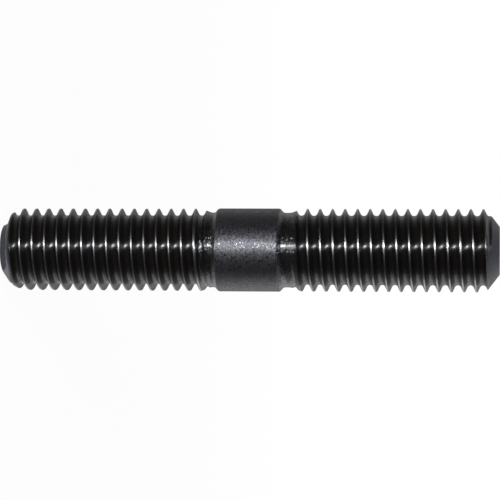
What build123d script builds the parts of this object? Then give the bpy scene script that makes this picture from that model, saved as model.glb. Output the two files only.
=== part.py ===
from build123d import *
import os
from math import atan2, ceil, cos, degrees, radians

# Double ended stud: one steel bar with a rolled right-hand thread at each end and a plain shank
# between them. Millimetres. The bar stands on its lower end, with its axis on Z and the middle of
# the lower end face at the origin. A length from an end is measured along the axis from that face.

# The bar
overall_length = 60.0
lower_thread_length = 25.9  # lower end face to the foot of the shank's chamfer
upper_thread_length = 25.85  # upper end face to the foot of the shank's chamfer
shank_diameter = 10.0
shank_chamfer_length = 0.45

# The thread: a V groove wound right-handed round the bar, which leaves a ridge with a narrow flat crest
thread_pitch = 1.5
crest_diameter = 9.92
crest_flat = 0.19
groove_depth = 0.46

# The run-out: the ridge sinks to a bare neck beside the shank, and the groove fades with it
neck_depth = 0.44  # the neck below the crests
lower_neck_length = 0.5
upper_neck_length = 1.0
runout_length = 1.2
fade_turns = 0.75
lower_groove_angle = 170.0  # degrees round from +X where the groove starts to fade
upper_groove_angle = 194.0

# The ends: a turned chamfer round the end face, then a lead where the ridge is not yet full
end_face_diameter = 5.7
lower_chamfer_length = 1.1
upper_chamfer_length = 1.2
lead_height = 0.56
lower_lead_length = 1.2
upper_lead_length = 0.4

clearance = 0.06  # a groove cutter reaches this far out of the bar
crest_radius = crest_diameter / 2
neck_radius = crest_radius - neck_depth
groove_slope = (thread_pitch - crest_flat) / 2 / groove_depth  # half width gained for each height


def end_outline(thread_length, neck_length, chamfer_length, lead_length):
    """Outline of one threaded end, as radius and length from its end face, out to the shank."""
    return [
        (0, 0),
        (end_face_diameter / 2, 0),
        (crest_radius - lead_height, chamfer_length),
        (crest_radius, chamfer_length + lead_length),
        (crest_radius, fade_start(thread_length, neck_length)),
        (neck_radius, thread_length - neck_length),
        (neck_radius, thread_length),
        (shank_diameter / 2, thread_length + shank_chamfer_length),
    ]


def fade_start(thread_length, neck_length):
    """Length from the end face at which the full thread ends and its run-out begins."""
    return thread_length - neck_length - runout_length


def turned_bar():
    """The bar before it is threaded: both ends, their necks and the shank, as one revolved outline."""
    lower = end_outline(
        lower_thread_length, lower_neck_length, lower_chamfer_length, lower_lead_length)
    upper = end_outline(
        upper_thread_length, upper_neck_length, upper_chamfer_length, upper_lead_length)
    inverted = [(radius, overall_length - height) for radius, height in reversed(upper)]
    outline = Polyline(*lower, *inverted, close=True)
    return revolve(make_face(Plane.XZ * outline), Axis.Z)


def helical_edge(radius, height, turns, angle, lead=thread_pitch, rise=0.0):
    """A right-hand helix up from a height and angle. Its radius grows by rise over its length."""
    cone_angle = degrees(atan2(rise, lead * turns))
    slant_lead = lead / cos(radians(cone_angle))
    helix = Helix(slant_lead, lead * turns, radius, cone_angle=cone_angle)
    return Pos(0, 0, height) * Rot(0, 0, angle) * helix.edge()


def groove_corners(height, angle, turns, rise=0.0):
    """Helices along a groove's three corners: its bottom, and its upper and lower edge outside the bar.

    The bottom grows out by rise, and the edges draw together as it does.
    """
    bottom = helical_edge(crest_radius - groove_depth, height, turns, angle, rise=rise)
    half_width = (groove_depth + clearance) * groove_slope
    narrowing = rise * groove_slope / turns
    edges = [
        helical_edge(crest_radius + clearance, height + side * half_width, turns, angle,
                     lead=thread_pitch - side * narrowing)
        for side in (1, -1)
    ]
    return [bottom, *edges]


def ruled_walls(corners):
    """The faces that join each corner helix of a groove to the next."""
    return [Face.make_surface_from_curves(a, b) for a, b in zip(corners, corners[1:] + corners[:1])]


def section_face(corners, end):
    """The flat face across a groove at the start (0) or end (1) of its corner helices."""
    return Face(Wire.make_polygon([corner @ end for corner in corners], close=True))


def groove_cutter(fade_height, angle):
    """Solid that cuts a thread's groove, from below Z = 0 to a part turn that fades out.

    It is built turn by turn, down from the height and angle where it starts to fade.
    """
    full_turns = ceil(fade_height / thread_pitch + 0.5)
    turns = [
        groove_corners(fade_height - turn * thread_pitch, angle, 1)
        for turn in range(full_turns, 0, -1)
    ]
    fade = groove_corners(fade_height, angle, fade_turns, rise=groove_depth - neck_depth + clearance)
    walls = [wall for corners in [*turns, fade] for wall in ruled_walls(corners)]
    return Solid(Shell([section_face(turns[0], 0), *walls, section_face(fade, 1)]))


def double_ended_stud():
    """The finished stud: the turned bar less a groove at each end, the upper one cut upside down."""
    lower_fade = fade_start(lower_thread_length, lower_neck_length)
    upper_fade = fade_start(upper_thread_length, upper_neck_length)
    lower_groove = groove_cutter(lower_fade, lower_groove_angle)
    upper_groove = groove_cutter(upper_fade, -upper_groove_angle)
    upside_down = Pos(0, 0, overall_length) * Rot(180, 0, 0)
    return turned_bar() - lower_groove - upside_down * upper_groove


os.makedirs("parts", exist_ok=True)
export_step(double_ended_stud(), "parts/stud.step")
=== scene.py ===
"""Dresses the double ended stud: full-depth rolled threads, black oxide, floor, light, camera."""

import logging
import math
from dataclasses import dataclass, field, replace
from enum import Enum

import bmesh
import bpy
from mathutils import Matrix, Vector, noise


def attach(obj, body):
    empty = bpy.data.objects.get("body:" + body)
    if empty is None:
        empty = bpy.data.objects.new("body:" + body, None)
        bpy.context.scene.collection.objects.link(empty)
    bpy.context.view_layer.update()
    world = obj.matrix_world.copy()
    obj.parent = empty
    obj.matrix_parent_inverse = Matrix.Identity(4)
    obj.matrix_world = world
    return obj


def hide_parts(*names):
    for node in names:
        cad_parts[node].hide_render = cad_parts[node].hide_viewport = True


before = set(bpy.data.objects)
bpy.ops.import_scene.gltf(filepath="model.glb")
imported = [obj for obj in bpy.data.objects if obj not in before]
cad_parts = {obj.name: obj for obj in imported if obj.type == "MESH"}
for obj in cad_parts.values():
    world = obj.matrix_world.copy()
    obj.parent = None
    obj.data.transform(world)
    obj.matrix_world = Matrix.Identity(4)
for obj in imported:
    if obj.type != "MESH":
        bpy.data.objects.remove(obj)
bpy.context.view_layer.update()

LOG = logging.getLogger("stud")
MM = 0.001
TURN = 2.0 * math.pi

Colour = tuple[float, float, float]
Feed = bpy.types.NodeSocket | float | tuple[float, ...]


class Region(Enum):
    """The parts of the stud's surface, each made or worn in its own way, save the lower edge,
    whose lighter finish is a painted highlight.
    """

    THREAD = 0
    SHANK = 1
    END = 2
    CREST = 3
    NECK = 4
    LOWER_END = 5
    LOWER_EDGE = 6


@dataclass(frozen=True)
class Wiring:
    """The node tree of one material or world, while its nodes are added and joined."""

    tree: bpy.types.NodeTree

    def feed(self, node: bpy.types.Node, inputs: dict[str | int, Feed]) -> None:
        """Fills a node's inputs.

        Args:
            node: The node.
            inputs: For each input, the socket that feeds it or the value that it is set to.
        """
        for name, value in inputs.items():
            if isinstance(value, bpy.types.NodeSocket):
                self.tree.links.new(value, node.inputs[name])
            else:
                node.inputs[name].default_value = value

    def add(
        self, kind: str, inputs: dict[str | int, Feed] | None = None, **options: str,
    ) -> bpy.types.Node:
        """Adds a node.

        Args:
            kind: Its type, without the words that all of them start with.
            inputs: What feeds its inputs.
            **options: Its own settings, such as its operation.

        Returns:
            The node.
        """
        node = self.tree.nodes.new(f"ShaderNode{kind}")
        for option, value in options.items():
            setattr(node, option, value)
        self.feed(node, inputs or {})
        return node

    def maths(self, operation: str, *operands: Feed) -> bpy.types.NodeSocket:
        """Adds a calculation with numbers.

        Args:
            operation: What it works out.
            *operands: What feeds its inputs, in order.

        Returns:
            The socket with the result.
        """
        node = self.add("Math", dict(enumerate(operands)), operation=operation)
        return node.outputs["Value"]

    def vector_maths(self, operation: str, *operands: Feed) -> bpy.types.NodeSocket:
        """Adds a calculation with vectors.

        Args:
            operation: What it works out.
            *operands: What feeds its inputs, in order.

        Returns:
            The socket with the resulting vector.
        """
        node = self.add("VectorMath", dict(enumerate(operands)), operation=operation)
        return node.outputs["Vector"]


@dataclass(frozen=True)
class OxideFinish:
    """A black oxide finish: dark, slightly varied, with a grain that breaks up its shine.

    Attributes:
        name: The material's name.
        colour: Its usual colour.
        warm_colour: The colour that it drifts to in patches.
        roughness: Its mean roughness.
        roughness_spread: How far the grain moves the roughness up or down.
        grain_per_mm: Grains in a millimetre.
        grain_height: Height of the grain, in millimetres.
        patches_per_mm: Patches of colour in a millimetre.
        specular: How much of the light at its surface it gives back.
        sheen_colour: Tint of its reflections.
        anisotropy: How far its shine is drawn out across the marks of rolling, from 0 to 1.
        marks_turn: Turn of those marks from the direction round the bar, as a share of a turn.
        index: Index of refraction.
        oil: Share of the surface under a film of oil.
        oil_roughness: Roughness of that film.
        facets_per_mm: Small flat spots in a millimetre.
        facet_tilt: How far the spots lean apart. With 0 there are none.
        even_facets: Share of the spots that lean no further than that.
        odd_facet_lean: How many times as far the last of the others lean.
        dull_facets: Share of the spots that are no smoother than the grain makes them.
        fleck_polish: How much smoother the smoothest of the others are.
    """

    name: str
    colour: Colour
    warm_colour: Colour
    roughness: float
    roughness_spread: float
    grain_per_mm: float
    grain_height: float
    patches_per_mm: float = 0.35
    specular: float = 0.4
    sheen_colour: Colour = (1.0, 1.0, 1.0)
    anisotropy: float = 0.0
    marks_turn: float = 0.25
    index: float = 1.5
    oil: float = 0.0
    oil_roughness: float = 0.12
    facets_per_mm: float = 4.0
    facet_tilt: float = 0.0
    even_facets: float = 0.93
    odd_facet_lean: float = 2.0
    dull_facets: float = 0.6
    fleck_polish: float = 0.0

    def build(self) -> bpy.types.Material:
        """Makes the material.

        Returns:
            The material, with its colour, roughness and grain from procedural nodes.
        """
        material = bpy.data.materials.new(self.name)
        material.use_nodes = True
        shader = material.node_tree.nodes["Principled BSDF"]
        wiring = Wiring(material.node_tree)
        place = wiring.add("TexCoord").outputs["Object"]
        scale = (1.0 / MM, 1.0 / MM, 1.0 / MM)
        mapping = wiring.add("Mapping", {"Vector": place, "Scale": scale}).outputs["Vector"]
        patches = wiring.add(
            "TexNoise", {"Vector": mapping, "Scale": self.patches_per_mm, "Detail": 3.0},
        )
        tint = wiring.add("Mix", {
            "A": (*self.colour, 1.0), "B": (*self.warm_colour, 1.0),
            "Factor": patches.outputs["Fac"],
        }, data_type="RGBA")
        grain = wiring.add(
            "TexNoise", {"Vector": mapping, "Scale": self.grain_per_mm, "Detail": 2.0},
        )
        polish = wiring.add("MapRange", {
            "Value": grain.outputs["Fac"],
            "To Min": self.roughness - self.roughness_spread,
            "To Max": self.roughness + self.roughness_spread,
        })
        bump = wiring.add("Bump", {
            "Height": grain.outputs["Fac"], "Strength": 1.0, "Distance": self.grain_height * MM,
        })
        roughness, normal = polish.outputs["Result"], bump.outputs["Normal"]
        if self.facet_tilt:
            roughness, normal = self.facets(wiring, mapping, roughness, normal)
        wiring.feed(shader, {
            "Base Color": tint.outputs["Result"],
            "Metallic": 0.0,
            "Roughness": roughness,
            "Normal": normal,
            "IOR": self.index,
            "Specular IOR Level": self.specular,
            "Specular Tint": (*self.sheen_colour, 1.0),
            "Coat Weight": self.oil,
            "Coat Roughness": self.oil_roughness,
        })
        if self.anisotropy:
            round_axis = wiring.add("Tangent", direction_type="RADIAL", axis="Z")
            wiring.feed(shader, {
                "Tangent": round_axis.outputs["Tangent"],
                "Anisotropic": self.anisotropy,
                "Anisotropic Rotation": self.marks_turn,
            })
        return material

    def facets(
        self, wiring: Wiring, mapping: bpy.types.NodeSocket, roughness: bpy.types.NodeSocket,
        normal: bpy.types.NodeSocket,
    ) -> tuple[bpy.types.NodeSocket, bpy.types.NodeSocket]:
        """Breaks the surface into small flat spots that lean apart, some of them polished.

        Args:
            wiring: The material's nodes.
            mapping: The place on the surface, in millimetres.
            roughness: The roughness without the spots.
            normal: The normal without them.

        Returns:
            The roughness and the normal with them.
        """
        cells = wiring.add("TexVoronoi", {"Vector": mapping, "Scale": self.facets_per_mm})
        chance = cells.outputs["Color"]
        channels = wiring.add("SeparateColor", {"Color": chance})
        fleck = wiring.add("MapRange", {
            "Value": channels.outputs["Green"],
            "From Min": self.dull_facets,
            "To Max": self.fleck_polish,
        })
        tilt = wiring.add("MapRange", {
            "Value": channels.outputs["Red"],
            "From Min": self.even_facets,
            "To Min": self.facet_tilt,
            "To Max": self.facet_tilt * self.odd_facet_lean,
        })
        centred = wiring.vector_maths("SUBTRACT", chance, (0.5, 0.5, 0.5))
        lean = wiring.add(
            "VectorMath", {0: centred, "Scale": tilt.outputs["Result"]}, operation="SCALE",
        )
        leaning = wiring.vector_maths("ADD", normal, lean.outputs["Vector"])
        return (
            wiring.maths("SUBTRACT", roughness, fleck.outputs["Result"]),
            wiring.vector_maths("NORMALIZE", leaning),
        )


ROLLED = OxideFinish(
    name="rolled_thread_oxide",
    colour=(0.003, 0.003, 0.0035), warm_colour=(0.005, 0.004, 0.003),
    roughness=0.33, roughness_spread=0.03, grain_per_mm=3.0, grain_height=0.001,
    specular=0.3, sheen_colour=(0.90, 0.94, 1.0), anisotropy=1.0,
    oil=0.36, oil_roughness=0.12,
)
CREST = OxideFinish(
    name="worn_crest_oxide",
    colour=(0.004, 0.004, 0.0045), warm_colour=(0.006, 0.005, 0.005),
    roughness=0.28, roughness_spread=0.03, grain_per_mm=4.0, grain_height=0.002,
    specular=0.5, sheen_colour=(0.93, 0.95, 1.0), index=2.1,
    oil=1.0, oil_roughness=0.20, facets_per_mm=6.0, facet_tilt=0.04,
)
TORN = OxideFinish(
    name="torn_runout_oxide",
    colour=(0.002, 0.002, 0.0025), warm_colour=(0.004, 0.003, 0.003),
    roughness=0.25, roughness_spread=0.05, grain_per_mm=3.0, grain_height=0.01,
    specular=0.4, sheen_colour=(0.90, 0.93, 1.0),
    oil=0.6, oil_roughness=0.14, facets_per_mm=5.0, facet_tilt=0.22,
)
TURNED = OxideFinish(
    name="turned_shank_oxide",
    colour=(0.003, 0.003, 0.004), warm_colour=(0.005, 0.004, 0.005),
    roughness=0.43, roughness_spread=0.03, grain_per_mm=1.6, grain_height=0.003,
    specular=0.85, sheen_colour=(0.88, 0.90, 1.0),
    facets_per_mm=7.5, facet_tilt=0.12, fleck_polish=0.22,
)
SATIN = OxideFinish(
    name="satin_end_oxide",
    colour=(0.006, 0.007, 0.010), warm_colour=(0.010, 0.010, 0.012),
    roughness=0.40, roughness_spread=0.05, grain_per_mm=5.0, grain_height=0.01,
    specular=0.6, sheen_colour=(0.82, 0.87, 1.0), facet_tilt=0.06,
)
FACED = replace(SATIN, name="faced_lower_end_oxide", index=1.8)
# A lighter, more reflective copy of the end finish for the lower end's outer chamfer: a painted
# highlight standing in for the light that its edge catches.
EDGE_HIGHLIGHT = replace(
    SATIN, name="edge_highlight_oxide",
    colour=(0.008, 0.009, 0.010), warm_colour=(0.012, 0.012, 0.013),
    sheen_colour=(0.90, 0.93, 1.0), index=3.2,
)
FINISHES = {
    Region.THREAD: ROLLED,
    Region.SHANK: TURNED,
    Region.END: SATIN,
    Region.CREST: CREST,
    Region.NECK: TORN,
    Region.LOWER_END: FACED,
    Region.LOWER_EDGE: EDGE_HIGHLIGHT,
}


@dataclass
class ThreadedEnd:
    """One end of the stud, from the middle of its shank out to its end face.

    It is modelled standing on its end face, in millimetres, with its axis on Z.

    Attributes:
        length: From the end face to the foot of the shank's chamfer.
        neck_length: Length of the plain neck beside the shank.
        end_chamfer_length: Length of the turned chamfer round the end face.
        lead_length: Length over which the first crests grow to full size.
        groove_angle: Degrees from +X to where the groove reaches the run-out's foot.
        half_length: From the end face to the joint with the other end, inside the shank.
        stepped: Whether the first ridge steps up from the blank's own chamfer.
        pitch: From one crest to the next.
        crest_radius: Radius over the crests.
        root_radius: Radius at the bottom of the groove.
        root_flat: Width of the flat at the bottom of the groove.
        root_rounding: Radius of the curve from that flat to a flank.
        flank_angle: Degrees that a flank stands off from square across the bar.
        root_steps: Straight runs in each of those curves.
        flank_shares: Where the rows of points lie on a flank, from its foot.
        sections: Sections in a turn of the groove.
        neck_radius: Radius at both ends of the neck.
        neck_dip: Depth of the dip in the neck, as a share of the neck's length.
        runout_length: Length over which the crests come down to the neck.
        fade_turns: Turns over which the groove rises out of the bar.
        groove_clearance: How far above the neck the groove's bottom has then risen.
        knock_depth: Depth of the deepest knocks on the crests.
        knocks_per_mm: Knocks in a millimetre.
        knocked_radius: Radius below which there are no knocks.
        end_face_radius: Radius of the end face.
        edge_break: Height of the rounding round the end face.
        edge_rings: Inset and height of the rings on that rounding, as shares of its height.
        face_ring_share: Radius of the ring inside the end face, as a share of the face's.
        lead_radius: Radius where the end chamfer stops.
        end_trim: Height above the end face at which the wound skin is cut off.
        blank_gap: How far the blank's chamfer stands off from the end face's edge.
        blank_slope: Rise of the blank's chamfer along the bar.
        step_start: Height of the step on the side away from +X.
        step_slope: Rise of the step along the bar.
        step_turns: Shares of a turn at which the step begins, is full, wanes and is gone.
        step_fade: How far the step is out of the way where it has waned.
        highlight_radius: Radius from which the lower end's chamfer has a lighter, more reflective
            finish, a painted highlight for the light that its outer edge catches.
        shank_radius: Radius of the shank.
        shank_chamfer: Length of the chamfer at each end of the shank.
        shank_trim: How far below the foot of the shank's chamfer that skin is cut off.
        foot_rise: Size of the small corner at the foot of the shank's chamfer.
        corner_rings: Inset and rise of the rings round the shank's corner.
        weld_gap: Distance within which points of the skin are one point.
        cut_gap: Distance within which a point lies on a cut.
    """

    length: float
    neck_length: float
    end_chamfer_length: float
    lead_length: float
    groove_angle: float
    half_length: float
    stepped: bool
    pitch: float = 1.5
    crest_radius: float = 4.96
    root_radius: float = 4.13
    root_flat: float = 0.08
    root_rounding: float = 0.34
    flank_angle: float = 27.0
    root_steps: int = 4
    flank_shares: tuple[float, ...] = (0.33, 0.67, 1.0)
    sections: int = 120
    neck_radius: float = 4.52
    neck_dip: float = 0.05
    runout_length: float = 1.2
    fade_turns: float = 0.75
    groove_clearance: float = 0.06
    knock_depth: float = 0.012
    knocks_per_mm: float = 1.3
    knocked_radius: float = 4.6
    end_face_radius: float = 2.85
    edge_break: float = 0.06
    edge_rings: tuple[tuple[float, float], ...] = ((0.15, 0.25), (1.0, 0.0))
    face_ring_share: float = 0.5
    lead_radius: float = 4.4
    end_trim: float = 0.1
    blank_gap: float = 0.03
    blank_slope: float = 0.5
    step_start: float = 0.48
    step_slope: float = 2.3
    step_turns: tuple[float, float, float, float] = (0.15, 0.3, 0.84, 0.99)
    step_fade: float = 2.0
    highlight_radius: float = 3.28
    shank_radius: float = 5.0
    shank_chamfer: float = 0.45
    shank_trim: float = 0.05
    foot_rise: float = 0.03
    corner_rings: tuple[tuple[float, float], ...] = (
        (0.09, -0.09), (0.035, -0.015), (0.01, 0.05), (0.0, 0.14), (0.0, 0.9),
    )
    weld_gap: float = 0.002
    cut_gap: float = 1e-5

    @property
    def fade_start(self) -> float:
        """Height at which the full thread ends and its run-out begins."""
        return self.length - self.neck_length - self.runout_length

    @property
    def neck_cut(self) -> float:
        """Height at which the wound skin is cut off beside the shank."""
        return self.length - self.shank_trim

    def envelope(self, height: float) -> float:
        """The bar's radius before it was threaded.

        Args:
            height: Distance from the end face.

        Returns:
            The largest radius that the thread may have at that height.
        """
        dip = self.neck_dip * self.neck_length
        outline = [
            (0.0, self.end_face_radius),
            (self.end_chamfer_length, self.lead_radius),
            (self.end_chamfer_length + self.lead_length, self.crest_radius),
            (self.fade_start, self.crest_radius),
            (self.fade_start + self.runout_length, self.neck_radius),
            (self.length - self.neck_length / 2, self.neck_radius - dip),
            (self.length, self.neck_radius),
        ]
        for (low, low_radius), (high, high_radius) in zip(outline, outline[1:]):
            if height <= high:
                share = (height - low) / (high - low)
                return low_radius + (high_radius - low_radius) * share
        return self.neck_radius

    def step_height(self, turned: float) -> float:
        """Height of the first ridge's step at a share of a turn from +X."""
        return self.step_start + (turned - 0.5) * self.pitch

    def first_step(self, turned: float, height: float) -> float:
        """The radius left where the first ridge steps up from the blank's own chamfer.

        Args:
            turned: Share of a turn from +X.
            height: Distance from the end face.

        Returns:
            The largest radius there, which is far outside the bar where the step is gone.
        """
        rise, full, wane, gone = self.step_turns
        if not self.stepped or turned <= rise or turned >= gone:
            return 2 * self.crest_radius
        strength = min((turned - rise) / (full - rise), (gone - turned) / (gone - wane), 1.0)
        line = self.step_height(turned)
        blank = self.end_face_radius + self.blank_gap + self.blank_slope * min(height, line)
        stepped = blank + self.step_slope * max(height - line, 0.0)
        return stepped + (1.0 - strength) ** 2 * self.step_fade

    def groove_profile(self) -> list[tuple[float, float]]:
        """Draws one groove from crest to crest.

        Returns:
            Radius and height of its points, with heights measured from its middle.
        """
        flank = math.radians(self.flank_angle)
        half: list[tuple[float, float]] = [(self.root_radius, 0.0)]
        centre = self.root_radius + self.root_rounding
        arc = math.pi / 2 - flank
        for step in range(self.root_steps + 1):
            angle = arc * step / self.root_steps
            half.append((
                centre - self.root_rounding * math.cos(angle),
                self.root_flat / 2 + self.root_rounding * math.sin(angle),
            ))
        foot, foot_height = half[-1]
        corner_height = foot_height + (self.crest_radius - foot) * math.tan(flank)
        for share in self.flank_shares:
            half.append((
                foot + (self.crest_radius - foot) * share,
                foot_height + (corner_height - foot_height) * share,
            ))
        lower = [(radius, -height) for radius, height in reversed(half[1:])]
        crests = [(self.crest_radius, side * self.pitch / 2) for side in (-1, 1)]
        return [crests[0], *lower, *half, crests[1]]

    def wind(self, mesh: bmesh.types.BMesh) -> None:
        """Winds the groove's section into a helical skin longer than the thread.

        Args:
            mesh: The empty mesh that takes the skin.
        """
        start = Matrix.Rotation(math.radians(self.groove_angle), 4, "Z")
        section = [
            mesh.verts.new(start @ Vector((radius, 0.0, height)))
            for radius, height in self.groove_profile()
        ]
        edges = [mesh.edges.new(pair) for pair in zip(section, section[1:])]
        bmesh.ops.spin(
            mesh, geom=[*section, *edges], cent=(0, 0, 0), axis=(0, 0, 1),
            dvec=(0, 0, self.pitch / self.sections), angle=TURN, steps=self.sections,
        )
        one_turn = [*mesh.verts, *mesh.edges, *mesh.faces]
        below = math.ceil((self.fade_start + self.pitch) / self.pitch)
        above = math.ceil((self.length - self.fade_start) / self.pitch) + 1
        foot = self.fade_start - below * self.pitch
        bmesh.ops.translate(mesh, verts=mesh.verts[:], vec=(0, 0, foot))
        for turn in range(1, below + above):
            copy = bmesh.ops.duplicate(mesh, geom=one_turn)["geom"]
            verts = [item for item in copy if isinstance(item, bmesh.types.BMVert)]
            bmesh.ops.translate(mesh, verts=verts, vec=(0, 0, turn * self.pitch))
        bmesh.ops.remove_doubles(mesh, verts=mesh.verts[:], dist=self.weld_gap)

    def lift(self, turns: float) -> float:
        """How far the groove's bottom has risen.

        Args:
            turns: Turns past the start of the run-out.

        Returns:
            The rise, from 0 to one that lifts the groove clear of the bar.
        """
        share = min(max(turns / self.fade_turns, 0.0), 1.0)
        clear = self.neck_radius + self.groove_clearance - self.root_radius
        return share * clear + max(turns - self.fade_turns, 0.0)

    def shape(self, mesh: bmesh.types.BMesh) -> None:
        """Pulls the wound skin inside the bar, with the run-out, the first step and knocks.

        Args:
            mesh: The wound skin.
        """
        start = math.radians(self.groove_angle)
        knocked_depth = self.crest_radius - self.knocked_radius
        for vert in mesh.verts:
            x, y, z = vert.co
            radius = math.hypot(x, y)
            bearing = math.atan2(y, x)
            turned = (bearing - start) / TURN
            turns = turned + round((z - self.fade_start) / self.pitch - turned)
            knock = noise.noise(Vector((x, y, z)) * self.knocks_per_mm) * self.knock_depth
            crest_share = max(0.0, (radius - self.knocked_radius) / knocked_depth)
            lifted = radius + self.lift(turns) - abs(knock) * crest_share
            limit = min(lifted, self.envelope(z), self.first_step(bearing / TURN % 1.0, z))
            vert.co.x *= limit / radius
            vert.co.y *= limit / radius

    def trim(self, mesh: bmesh.types.BMesh) -> None:
        """Cuts the skin square near the end face and at the foot of the shank's chamfer.

        Args:
            mesh: The shaped skin.
        """
        for height, side in ((self.end_trim, -1), (self.neck_cut, 1)):
            bmesh.ops.bisect_plane(
                mesh, geom=[*mesh.verts, *mesh.edges, *mesh.faces], dist=self.cut_gap,
                plane_co=(0, 0, height), plane_no=(0, 0, side), clear_outer=True,
            )

    def grow(
        self, mesh: bmesh.types.BMesh, height: float, rings: list[tuple[float, float]],
    ) -> None:
        """Draws an open rim out through rings, and closes it where it goes down to the end.

        Args:
            mesh: The mesh.
            height: Height of the rim.
            rings: Radius and height of each ring.
        """
        reach = 2 * self.weld_gap
        rim = [
            edge for edge in mesh.edges
            if edge.is_boundary and all(abs(vert.co.z - height) < reach for vert in edge.verts)
        ]
        for radius, level in rings:
            grown = bmesh.ops.extrude_edge_only(mesh, edges=rim)["geom"]
            for vert in (item for item in grown if isinstance(item, bmesh.types.BMVert)):
                scale = radius / math.hypot(vert.co.x, vert.co.y)
                vert.co = Vector((vert.co.x * scale, vert.co.y * scale, level))
            rim = [
                item for item in grown
                if isinstance(item, bmesh.types.BMEdge) and item.is_boundary
            ]
        if rings[-1][1] < height:
            bmesh.ops.contextual_create(mesh, geom=rim)

    def build(self) -> bmesh.types.BMesh:
        """Makes the end.

        Returns:
            Its mesh in millimetres, open at the middle of the shank.
        """
        mesh = bmesh.new()
        self.wind(mesh)
        self.shape(mesh)
        self.trim(mesh)
        edge = self.edge_break
        self.grow(mesh, self.end_trim, [
            (self.envelope(edge), edge),
            *((self.end_face_radius - edge * inset, edge * rise)
              for inset, rise in self.edge_rings),
            (self.end_face_radius * self.face_ring_share, 0.0),
        ])
        top = self.length + self.shank_chamfer
        self.grow(mesh, self.neck_cut, [
            (self.neck_radius + self.foot_rise, self.length + self.foot_rise),
            *((self.shank_radius - inset, top + rise) for inset, rise in self.corner_rings),
            (self.shank_radius, self.half_length),
        ])
        return mesh


@dataclass
class Stud:
    """The whole stud: two threaded ends that share a shank, in millimetres.

    Attributes:
        overall_length: From end face to end face.
        shank_middle: Height of the shank's middle.
        lower: The end that it stands on.
        upper: The other end, whose roots are rounder.
        sharp_angle: Degrees between two faces from which the edge between them is sharp.
        chamfer_share: Share of the shank's chamfer that is finished as the neck is.
        neck_depth: Depth below the crests from which the run-out is torn.
        crest_depth: Depth below the crests to which they are worn.
        chamfer_depth: Depth below the bar's outline to which the end chamfer was turned.
        step_reach: How far past the first step the end chamfer's finish goes.
        face_depth: Height to which the end face's finish goes.
    """

    overall_length: float = 60.0
    shank_middle: float = 30.025
    lower: ThreadedEnd = field(default_factory=lambda: ThreadedEnd(
        length=25.9, neck_length=0.5, end_chamfer_length=1.1, lead_length=1.2,
        groove_angle=170.0, half_length=30.0, stepped=True,
    ))
    upper: ThreadedEnd = field(default_factory=lambda: ThreadedEnd(
        length=25.85, neck_length=1.0, end_chamfer_length=1.2, lead_length=0.4,
        groove_angle=-194.0, half_length=29.95, stepped=False,
        root_flat=0.0, root_rounding=0.43, flank_angle=25.0,
    ))
    sharp_angle: float = 50.0
    chamfer_share: float = 0.7
    neck_depth: float = 0.2
    crest_depth: float = 0.05
    chamfer_depth: float = 0.02
    step_reach: float = 0.3
    face_depth: float = 0.001

    def build(self) -> bpy.types.Object:
        """Makes the stud's object.

        Returns:
            The finished object, in metres, in the frame's place.
        """
        whole = bmesh.new()
        turn_over = Matrix.Rotation(math.pi, 4, "X")
        flip = Matrix.Translation((0, 0, self.overall_length)) @ turn_over
        for end, place in ((self.lower, Matrix.Identity(4)), (self.upper, flip)):
            part = end.build()
            bmesh.ops.transform(part, matrix=place, verts=part.verts[:])
            holder = bpy.data.meshes.new("end")
            part.to_mesh(holder)
            part.free()
            whole.from_mesh(holder)
            bpy.data.meshes.remove(holder)
        rims = [edge for edge in whole.edges if edge.is_boundary]
        bmesh.ops.bridge_loops(whole, edges=rims)
        bmesh.ops.recalc_face_normals(whole, faces=whole.faces[:])
        for face in whole.faces:
            face.smooth = True
            face.material_index = self.region(face).value
        bmesh.ops.scale(whole, vec=(MM, MM, MM), verts=whole.verts[:])
        mesh = bpy.data.meshes.new("stud_body")
        whole.to_mesh(mesh)
        gaps = sum(edge.is_boundary for edge in whole.edges)
        LOG.info("stud mesh: %d faces, %d open edges", len(whole.faces), gaps)
        whole.free()
        for region in Region:
            mesh.materials.append(FINISHES[region].build())
        mesh.set_sharp_from_angle(angle=math.radians(self.sharp_angle))
        body = bpy.data.objects.new("stud_body", mesh)
        bpy.context.scene.collection.objects.link(body)
        return body

    def region(self, face: bmesh.types.BMFace) -> Region:
        """Which part of the surface a face belongs to.

        Args:
            face: A face of the stud, in millimetres.

        Returns:
            Its region.
        """
        centre = face.calc_center_median()
        height = min(centre.z, self.overall_length - centre.z)
        end = self.lower if centre.z < self.shank_middle else self.upper
        radius = math.hypot(centre.x, centre.y)
        if height > end.length + self.chamfer_share * end.shank_chamfer:
            return Region.SHANK
        if height > end.fade_start and radius < end.crest_radius - self.neck_depth:
            return Region.NECK
        turned = math.atan2(centre.y, centre.x) / TURN % 1.0
        on_blank = end.stepped and height < end.step_height(turned) + self.step_reach
        on_bar = radius > end.envelope(height) - self.chamfer_depth
        if height < end.end_chamfer_length and (on_blank or on_bar):
            if not end.stepped:
                return Region.END
            # The lower end's outer chamfer takes the painted-highlight finish, the rest of that
            # chamfer the plain one.
            return Region.LOWER_EDGE if radius > end.highlight_radius else Region.LOWER_END
        if height < self.face_depth:
            return Region.END
        if radius > end.crest_radius - self.crest_depth:
            return Region.CREST
        return Region.THREAD


@dataclass(frozen=True)
class Window:
    """A band of directions over which the room's brightness goes from one level to another.

    Attributes:
        source: The socket that says how far a direction points one way, from -1 to 1.
        start: Where the band starts.
        end: Where it ends.
        start_level: Brightness up to its start.
        end_level: Brightness past its end.
    """

    source: bpy.types.NodeSocket
    start: float
    end: float
    start_level: float
    end_level: float

    def level(self, wiring: Wiring) -> bpy.types.NodeSocket:
        """Adds the node that reads it.

        Args:
            wiring: The nodes that it is added to.

        Returns:
            The socket with the level.
        """
        return wiring.add("MapRange", {
            "From Min": self.start, "From Max": self.end,
            "To Min": self.start_level, "To Max": self.end_level, "Value": self.source,
        }, interpolation_type="SMOOTHSTEP").outputs["Result"]


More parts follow.
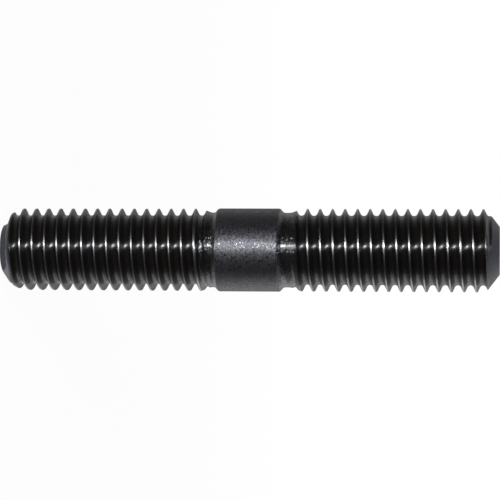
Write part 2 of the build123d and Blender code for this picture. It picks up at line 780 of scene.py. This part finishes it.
@dataclass(frozen=True)
class Room:
    """The white room round the stud, as reflections show it: darker round the camera.

    Attributes:
        front_level: Brightness on the camera's side, towards -Y.
        back_level: Brightness straight behind the stud, towards +Y.
        side_level: Brightness on the dimmer side, towards -X.
        skew: Share of a direction's X that counts in how far it points behind the stud.
        end_share: Share of its slope towards either end that counts in how far it points aside.
        matt_level: Brightness that lights matt surfaces.
    """

    front_level: float = 0.03
    back_level: float = 0.3
    side_level: float = 0.5
    skew: float = 0.12
    end_share: float = 0.3
    matt_level: float = 0.3

    def level(self, wiring: Wiring, direction: bpy.types.NodeSocket) -> bpy.types.NodeSocket:
        """How bright the room is in a direction.

        Args:
            wiring: The nodes that it is added to.
            direction: A unit vector away from the stud.

        Returns:
            The socket with the level, from 0 to 1.
        """
        split = wiring.add("SeparateXYZ", {"Vector": direction}).outputs
        endwise = wiring.maths("ABSOLUTE", split["Z"])
        aside = wiring.maths("MULTIPLY_ADD", endwise, self.end_share, split["X"])
        behind = wiring.maths("MULTIPLY_ADD", split["X"], self.skew, split["Y"])
        front, back, side = (window.level(wiring) for window in (
            Window(behind, start=-0.45, end=0.75, start_level=self.front_level, end_level=1.0),
            Window(split["Y"], start=0.75, end=1.0, start_level=1.0, end_level=self.back_level),
            Window(aside, start=-0.7, end=0.7, start_level=self.side_level, end_level=1.0),
        ))
        return wiring.maths("MULTIPLY", wiring.maths("MULTIPLY", front, back), side)

    def seen(self, wiring: Wiring, direction: bpy.types.NodeSocket) -> bpy.types.NodeSocket:
        """How much a ray sees of the room: all from the camera, its level in a reflection.

        Args:
            wiring: The nodes that it is added to.
            direction: A unit vector away from the stud.

        Returns:
            The socket with the brightness, which is 0 for the light on matt surfaces.
        """
        path = wiring.add("LightPath").outputs
        reflected = wiring.maths("MAXIMUM", path["Is Glossy Ray"], path["Is Transmission Ray"])
        shown = wiring.maths("MULTIPLY", reflected, self.level(wiring, direction))
        return wiring.maths("MAXIMUM", shown, path["Is Camera Ray"])

    def build(self) -> None:
        """Makes the world, which is white and lights matt surfaces at a plain level."""
        world = bpy.data.worlds.new("studio")
        bpy.context.scene.world = world
        world.use_nodes = True
        wiring = Wiring(world.node_tree)
        direction = wiring.add("TexCoord").outputs["Generated"]
        matt = wiring.add("LightPath").outputs["Is Diffuse Ray"]
        level = wiring.maths("MULTIPLY_ADD", matt, self.matt_level, self.seen(wiring, direction))
        wiring.feed(world.node_tree.nodes["Background"], {
            "Color": (1.0, 1.0, 1.0, 1.0), "Strength": level,
        })


@dataclass(frozen=True)
class Floor:
    """The pale floor, which reads as white and keeps the stud's shadow. Sizes are in metres.

    Attributes:
        radius: Its radius.
        sides: Sides of its outline.
        gap: How far it lies under the stud's end face.
        grey: Colour of its matt surface.
        glow_share: Share of its look beside the stud that is white and takes no shadow.
        shadow_start: Distance from the stud at which that share starts to grow.
        shadow_end: Distance at which it is all white.
        mirror_point: The point on the stud that its reflections are worked out for.
    """

    radius: float = 2.0
    sides: int = 96
    gap: float = 0.02 * MM
    grey: float = 0.85
    glow_share: float = 0.96
    shadow_start: float = 0.05
    shadow_end: float = 0.4
    mirror_point: tuple[float, float, float] = (0.0, -0.006, 0.02)

    def build(self, room: Room) -> None:
        """Lays the floor.

        Args:
            room: The room whose brightness it has in reflections.
        """
        disc = bmesh.new()
        bmesh.ops.create_circle(disc, cap_ends=True, radius=self.radius, segments=self.sides)
        mesh = bpy.data.meshes.new("floor")
        disc.to_mesh(mesh)
        disc.free()
        mesh.materials.append(self.material(room))
        floor = bpy.data.objects.new("floor", mesh)
        floor.location.z = -self.gap
        bpy.context.scene.collection.objects.link(floor)

    def material(self, room: Room) -> bpy.types.Material:
        """Makes its material.

        Args:
            room: The room whose brightness it has in reflections.

        Returns:
            The material.
        """
        material = bpy.data.materials.new("pale_floor")
        material.use_nodes = True
        material.node_tree.nodes.clear()
        wiring = Wiring(material.node_tree)
        place = wiring.add("TexCoord").outputs["Object"]
        away = wiring.vector_maths("SUBTRACT", place, self.mirror_point)
        seen = room.seen(wiring, wiring.vector_maths("NORMALIZE", away))
        distance = wiring.add("VectorMath", {0: place}, operation="LENGTH").outputs["Value"]
        fade = wiring.add("MapRange", {
            "Value": distance, "From Min": self.shadow_start, "From Max": self.shadow_end,
            "To Min": self.glow_share,
        }).outputs["Result"]
        share = wiring.maths("MULTIPLY", wiring.maths("GREATER_THAN", seen, 0.0), fade)
        matt = wiring.add("BsdfDiffuse", {"Color": (self.grey, self.grey, self.grey, 1.0)})
        glow = wiring.add("Emission", {"Strength": seen})
        mix = wiring.add("MixShader", {
            "Fac": share, 1: matt.outputs["BSDF"], 2: glow.outputs["Emission"],
        })
        wiring.add("OutputMaterial", {"Surface": mix.outputs["Shader"]})
        return material


@dataclass(frozen=True)
class Lamp:
    """A rectangular lamp that the camera doesn't see.

    Attributes:
        name: Its name.
        place: Its middle, in metres.
        facing: The direction it shines in.
        along: The direction of its length.
        size: Its length and width, in metres.
        power: Its power, in watts.
    """

    name: str
    place: Vector
    facing: Vector
    along: Vector
    size: tuple[float, float]
    power: float

    def build(self) -> None:
        """Puts the lamp in the scene."""
        data = bpy.data.lights.new(self.name, "AREA")
        data.shape = "RECTANGLE"
        data.size, data.size_y = self.size
        data.energy = self.power
        back = -self.facing.normalized()
        along = (self.along - back * self.along.dot(back)).normalized()
        turn = Matrix((along, back.cross(along), back)).transposed().to_4x4()
        lamp = bpy.data.objects.new(self.name, data)
        lamp.matrix_world = Matrix.Translation(self.place) @ turn
        lamp.visible_camera = False
        bpy.context.scene.collection.objects.link(lamp)


@dataclass(frozen=True)
class Studio:
    """The floor, the room, the lamps and the camera.

    Attributes:
        aim: Height that the camera and the key lamp are set to, in millimetres.
        distance: From the camera to the stud, in millimetres.
        view_width: Width of the view at the stud, in millimetres.
        yaw: Degrees that the camera is turned from square on to the stud.
        roll: Degrees that it is rolled from level.
        sensor_width: Width of its sensor, in millimetres.
        near_limit: Nearest distance that it shows, in metres.
        lamp_angle: Degrees from the camera's side round to the lamps, seen from the stud.
        lamp_distance: From the stud to the two lamps beside the camera, in metres.
        strip_middle: Height of the middle of the long strip, in metres.
        low_height: Height of the two strips that lie on the floor, in metres.
        near_distance: From the stud to the middle of the nearer of them, in metres.
        far_distance: From the stud to the middle of the other, in metres.
        fill_place: From the aim to the soft fill, in metres.
    """

    aim: float = 30.075
    distance: float = 280.0
    view_width: float = 60.55175
    yaw: float = 6.1
    roll: float = 0.21
    sensor_width: float = 36.0
    near_limit: float = 0.01
    lamp_angle: float = 13.4
    lamp_distance: float = 0.15
    strip_middle: float = 0.302
    low_height: float = 0.0006
    near_distance: float = 0.026
    far_distance: float = 0.095
    fill_place: tuple[float, float, float] = (0.45, 0.12, 0.0)

    def lamps(self) -> list[Lamp]:
        """Lists the lamps.

        Returns:
            Two beside the camera, two low strips in front of the stud's foot and a soft fill.
        """
        angle = math.radians(self.lamp_angle)
        outward = Vector((-math.sin(angle), -math.cos(angle), 0.0))
        up = Vector((0.0, 0.0, 1.0))
        aim = up * (self.aim * MM)
        low = up * self.low_height
        beside = outward * self.lamp_distance
        fill = Vector(self.fill_place)
        return [
            Lamp("key_box", aim + beside, -outward, up, size=(0.058, 0.012), power=0.135),
            Lamp(
                "long_strip", up * self.strip_middle + beside, -outward, up,
                size=(0.6, 0.009), power=0.45,
            ),
            Lamp(
                "near_strip", low + outward * self.near_distance, up, outward,
                size=(0.028, 0.002), power=0.005,
            ),
            Lamp(
                "low_strip", low + outward * self.far_distance, up, outward,
                size=(0.11, 0.007), power=0.06,
            ),
            Lamp("side_fill", aim + fill, -fill, up, size=(0.5, 0.3), power=0.5),
        ]

    def camera(self) -> None:
        """Sets the camera, with the stud lying across its view."""
        yaw = math.radians(self.yaw)
        data = bpy.data.cameras.new("camera")
        data.sensor_width = self.sensor_width
        data.lens = self.sensor_width * self.distance / (self.view_width * math.cos(yaw))
        data.clip_start = self.near_limit
        forward = Vector((0, math.cos(yaw), -math.sin(yaw)))
        right = Vector((0, math.sin(yaw), math.cos(yaw)))
        turn = Matrix((right, right.cross(forward), -forward)).transposed()
        roll = Matrix.Rotation(math.radians(self.roll), 3, "Z")
        place = (Vector((0, 0, self.aim)) - forward * self.distance) * MM
        camera = bpy.data.objects.new("camera", data)
        camera.matrix_world = Matrix.Translation(place) @ (turn @ roll).to_4x4()
        bpy.context.scene.collection.objects.link(camera)
        bpy.context.scene.camera = camera

    def build(self) -> None:
        """Makes the whole studio."""
        room = Room()
        Floor().build(room)
        room.build()
        for lamp in self.lamps():
            lamp.build()
            LOG.info("placed %s", lamp.name)
        self.camera()
        bpy.context.scene.view_settings.view_transform = "Standard"


def main() -> None:
    logging.basicConfig(level=logging.INFO, format="%(message)s")
    body = Stud().build()
    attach(body, "root")
    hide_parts("stud")
    LOG.info("built %s", body.name)
    Studio().build()
    LOG.info("built studio")


if __name__ == "__main__":
    main()
